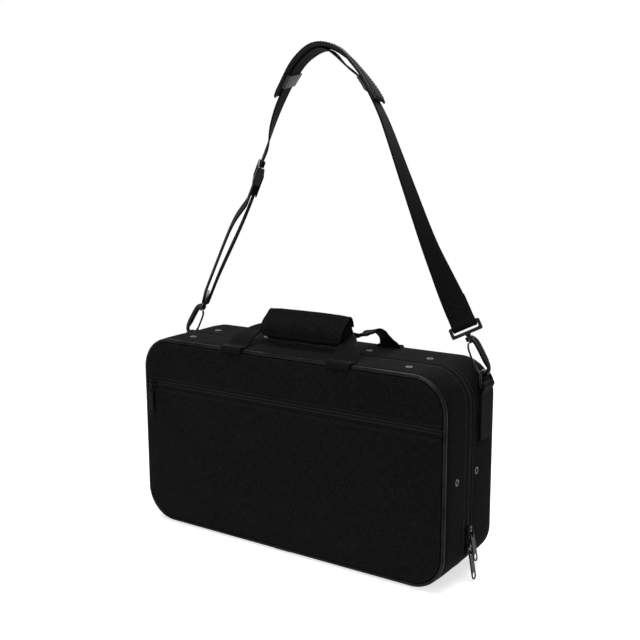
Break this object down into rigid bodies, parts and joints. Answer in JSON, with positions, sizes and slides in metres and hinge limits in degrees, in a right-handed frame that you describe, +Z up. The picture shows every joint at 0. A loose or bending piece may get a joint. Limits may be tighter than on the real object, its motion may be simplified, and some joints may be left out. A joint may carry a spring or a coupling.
{
  "type": "clarinet case",
  "caption": "Soft-covered rectangular clarinet case that opens at a zip round three sides, with a front pocket, wrapped carrying handles and a padded shoulder strap on swivel hooks.",
  "frame": {"origin": "on the floor under the middle of the part, the case standing on its four feet", "axes": "+X along the case's length to its right end as seen from the front, -Y out of the pocket side, +Z up towards the handles"},
  "size_m": [0.3946, 0.1131, 0.5236],
  "materials": {
    "cloth": "woven, matte",
    "webbing": "woven, matte",
    "piping": "smooth vinyl, satin",
    "zip_cloth": "fine weave, matte",
    "nylon": "satin",
    "black_metal": "black plated, satin",
    "plastic": "moulded, satin",
    "plush": "short plush, matte",
    "pad_cloth": "coated cloth, satin"
  },
  "bodies": {
    "rear_half": {"rear_shell": "cloth", "rear_piping": "piping", "bell_tray": "plush", "joint_tray": "plush", "accessory_tray": "plush", "zip_coil_rear": "nylon", "zip_tape_rear": "zip_cloth", "hinge_leaf_rear": "webbing", "hinge_roll": "webbing", "foot_rear_left": "plastic", "foot_rear_right": "plastic", "rear_handle_anchor_left": "webbing", "rear_handle_anchor_right": "webbing", "ring_tab_left": "webbing", "ring_tab_right": "webbing"},
    "lid": {"lid_shell": "cloth", "lid_wall_lining": "plush", "lid_pad": "plush", "front_piping": "piping", "upper_panel": "cloth", "pocket_panel": "cloth", "pocket_zip_tape": "zip_cloth", "pocket_zip_coil": "nylon", "zip_coil_front": "nylon", "zip_tape_front": "zip_cloth", "hinge_leaf_front": "webbing", "foot_front_left": "plastic", "foot_front_right": "plastic", "front_handle_anchor_left": "webbing", "front_handle_anchor_right": "webbing"},
    "pocket_slider": {"pocket_slider": "black_metal"},
    "pocket_pull": {"pocket_pull_link": "black_metal", "pocket_pull": "black_metal"},
    "front_handle": {"front_handle": "webbing", "wrap_sleeve": "cloth", "wrap_loop_patch": "plush"},
    "wrap_flap": {"wrap_flap": "cloth", "flap_hook_patch": "plush"},
    "rear_handle": {"rear_handle": "webbing"},
    "upper_slider": {"upper_slider": "black_metal"},
    "upper_pull": {"upper_pull": "black_metal"},
    "lower_slider": {"lower_slider": "black_metal"},
    "lower_pull": {"lower_pull": "black_metal"},
    "ring_left": {"d_ring_left": "black_metal"},
    "ring_right": {"d_ring_right": "black_metal"},
    "strap": {"strap_webbing": "webbing", "shoulder_pad": "pad_cloth", "pad_keeper_left": "piping", "pad_keeper_right": "piping", "hook_eye_left": "plastic", "hook_eye_right": "plastic"},
    "adjuster": {"strap_adjuster": "plastic", "strap_end_loop": "webbing"},
    "hook_left": {"snap_hook_left": "plastic"},
    "hook_right": {"snap_hook_right": "plastic"},
    "gate_left": {"hook_gate_left": "black_metal"},
    "gate_right": {"hook_gate_right": "black_metal"}
  },
  "joints": [
    {"name": "lid_hinge", "type": "hinge", "parent": "rear_half", "child": "lid", "pos_m": [0, -0.003, 0.0023], "axis": [1, 0, 0], "range_deg": [0, 165]},
    {"name": "pocket_slider_travel", "type": "slide", "parent": "lid", "child": "pocket_slider", "axis": [1, 0, 0], "range_m": [0, 0.352]},
    {"name": "pocket_pull_swing", "type": "hinge", "parent": "pocket_slider", "child": "pocket_pull", "pos_m": [-0.176, -0.05681, 0.16], "axis": [1, 0, 0], "range_deg": [-90, 0]},
    {"name": "front_handle_hinge", "type": "hinge", "parent": "lid", "child": "front_handle", "pos_m": [0.004, -0.042, 0.2136], "axis": [1, 0, 0], "range_deg": [0, 76]},
    {"name": "wrap_flap_hinge", "type": "hinge", "parent": "front_handle", "child": "wrap_flap", "pos_m": [0.004, 0.001, 0.23874], "axis": [1, 0, 0], "range_deg": [-110, 0]},
    {"name": "rear_handle_hinge", "type": "hinge", "parent": "rear_half", "child": "rear_handle", "pos_m": [0.004, 0.042, 0.2136], "axis": [1, 0, 0], "range_deg": [-62, 0]},
    {"name": "upper_slider_travel", "type": "slide", "parent": "rear_half", "child": "upper_slider", "axis": [0, 0, 1], "range_m": [0, 0.118]},
    {"name": "upper_pull_swing", "type": "hinge", "parent": "upper_slider", "child": "upper_pull", "pos_m": [0.19335, -0.003, 0.05], "axis": [0, 1, 0], "range_deg": [-80, 0]},
    {"name": "lower_slider_travel", "type": "hinge", "parent": "rear_half", "child": "lower_slider", "pos_m": [0.1525, -0.003, 0.0385], "axis": [0, -1, 0], "range_deg": [-28, 0]},
    {"name": "lower_pull_swing", "type": "hinge", "parent": "lower_slider", "child": "lower_pull", "pos_m": [0.1926, -0.003, 0.0307], "axis": [0, 1, 0], "range_deg": [-6, 0]},
    {"name": "ring_left_tip", "type": "hinge", "parent": "rear_half", "child": "ring_left", "pos_m": [-0.1915, 0.027, 0.1915], "axis": [0, 1, 0], "range_deg": [-2.5, 2.5]},
    {"name": "ring_right_tip", "type": "hinge", "parent": "rear_half", "child": "ring_right", "pos_m": [0.1915, 0.027, 0.1915], "axis": [0, 1, 0], "range_deg": [-2.5, 2.5]},
    {"name": "strap_swing", "type": "hinge", "parent": "rear_half", "child": "strap", "pos_m": [0, 0.027, 0.1915], "axis": [1, 0, 0], "range_deg": [-18, 18]},
    {"name": "adjuster_travel", "type": "slide", "parent": "strap", "child": "adjuster", "axis": [-0.4384, 0, -0.8988], "range_m": [-0.01, 0.008]},
    {"name": "hook_left_swivel", "type": "hinge", "parent": "strap", "child": "hook_left", "pos_m": [-0.16868, 0.027, 0.23777], "axis": [-0.5058, 0, -0.8627], "range_deg": [-18, 18]},
    {"name": "gate_left_spring", "type": "hinge", "parent": "hook_left", "child": "gate_left", "pos_m": [-0.16907, 0.027, 0.23116], "axis": [0, 1, 0], "range_deg": [0, 16], "stiffness_Nm_per_rad": 0.02},
    {"name": "hook_right_swivel", "type": "hinge", "parent": "strap", "child": "hook_right", "pos_m": [0.17138, 0.027, 0.23743], "axis": [0.4536, 0, -0.8912], "range_deg": [-18, 18]},
    {"name": "gate_right_spring", "type": "hinge", "parent": "hook_right", "child": "gate_right", "pos_m": [0.17138, 0.027, 0.23081], "axis": [0, -1, 0], "range_deg": [0, 16], "stiffness_Nm_per_rad": 0.02}
  ]
}
